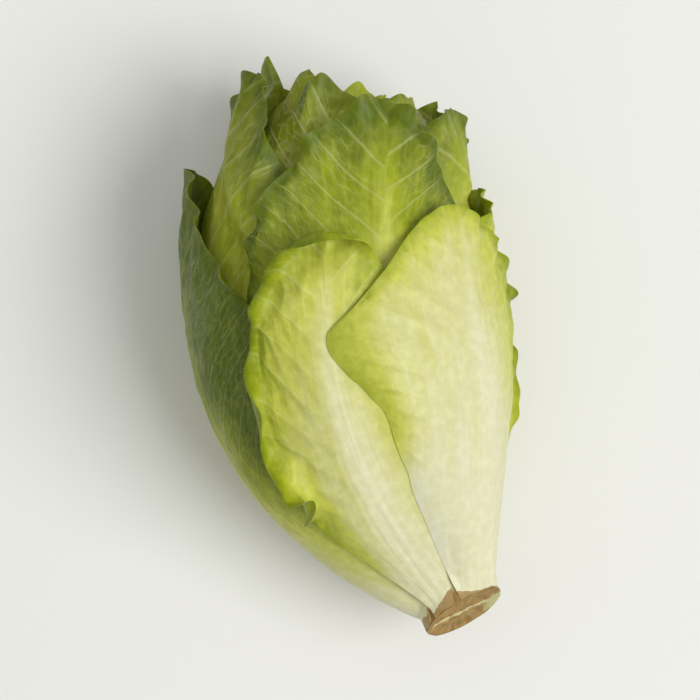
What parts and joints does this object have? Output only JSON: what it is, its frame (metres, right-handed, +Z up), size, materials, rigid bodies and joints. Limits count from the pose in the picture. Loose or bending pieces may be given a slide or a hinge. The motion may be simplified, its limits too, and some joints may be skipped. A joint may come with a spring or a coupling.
{
  "type": "romaine lettuce head",
  "caption": "Small dense romaine-type lettuce head lying on its side: pale ribbed leaves in a spiral round a short conical stem with a browned slanting cut.",
  "frame": {"origin": "on the surface that the head lies on, under the middle of its bounding box", "axes": "+Z up, +Y from the cut stem towards the closed leafy tip, +X to the right seen from above with the tip away"},
  "size_m": [0.0849, 0.1444, 0.0782],
  "materials": {
    "outer_leaf": "waxy living leaf, pale cream-green rib and yellow-green margin, soft sheen",
    "middle_leaf": "waxy living leaf, mid green blistered blade, soft sheen",
    "heart_leaf": "tender yellow-green leaf, soft sheen",
    "stem": "cut stem, dull, browned by air"
  },
  "bodies": {
    "root": {"stem": "stem", "outer_leaf_01": "outer_leaf", "outer_leaf_02": "outer_leaf", "outer_leaf_03": "outer_leaf", "outer_leaf_04": "outer_leaf", "outer_leaf_05": "outer_leaf", "outer_leaf_06": "outer_leaf", "outer_leaf_07": "outer_leaf", "outer_leaf_08": "outer_leaf", "outer_leaf_09": "outer_leaf", "middle_leaf_01": "middle_leaf", "middle_leaf_02": "middle_leaf", "middle_leaf_03": "middle_leaf", "middle_leaf_04": "middle_leaf", "middle_leaf_05": "middle_leaf", "middle_leaf_06": "middle_leaf", "middle_leaf_07": "middle_leaf", "heart_leaf_01": "heart_leaf", "heart_leaf_02": "heart_leaf", "heart_leaf_03": "heart_leaf", "heart_leaf_04": "heart_leaf", "heart_leaf_05": "heart_leaf", "heart_leaf_06": "heart_leaf"}
  },
  "joints": []
}
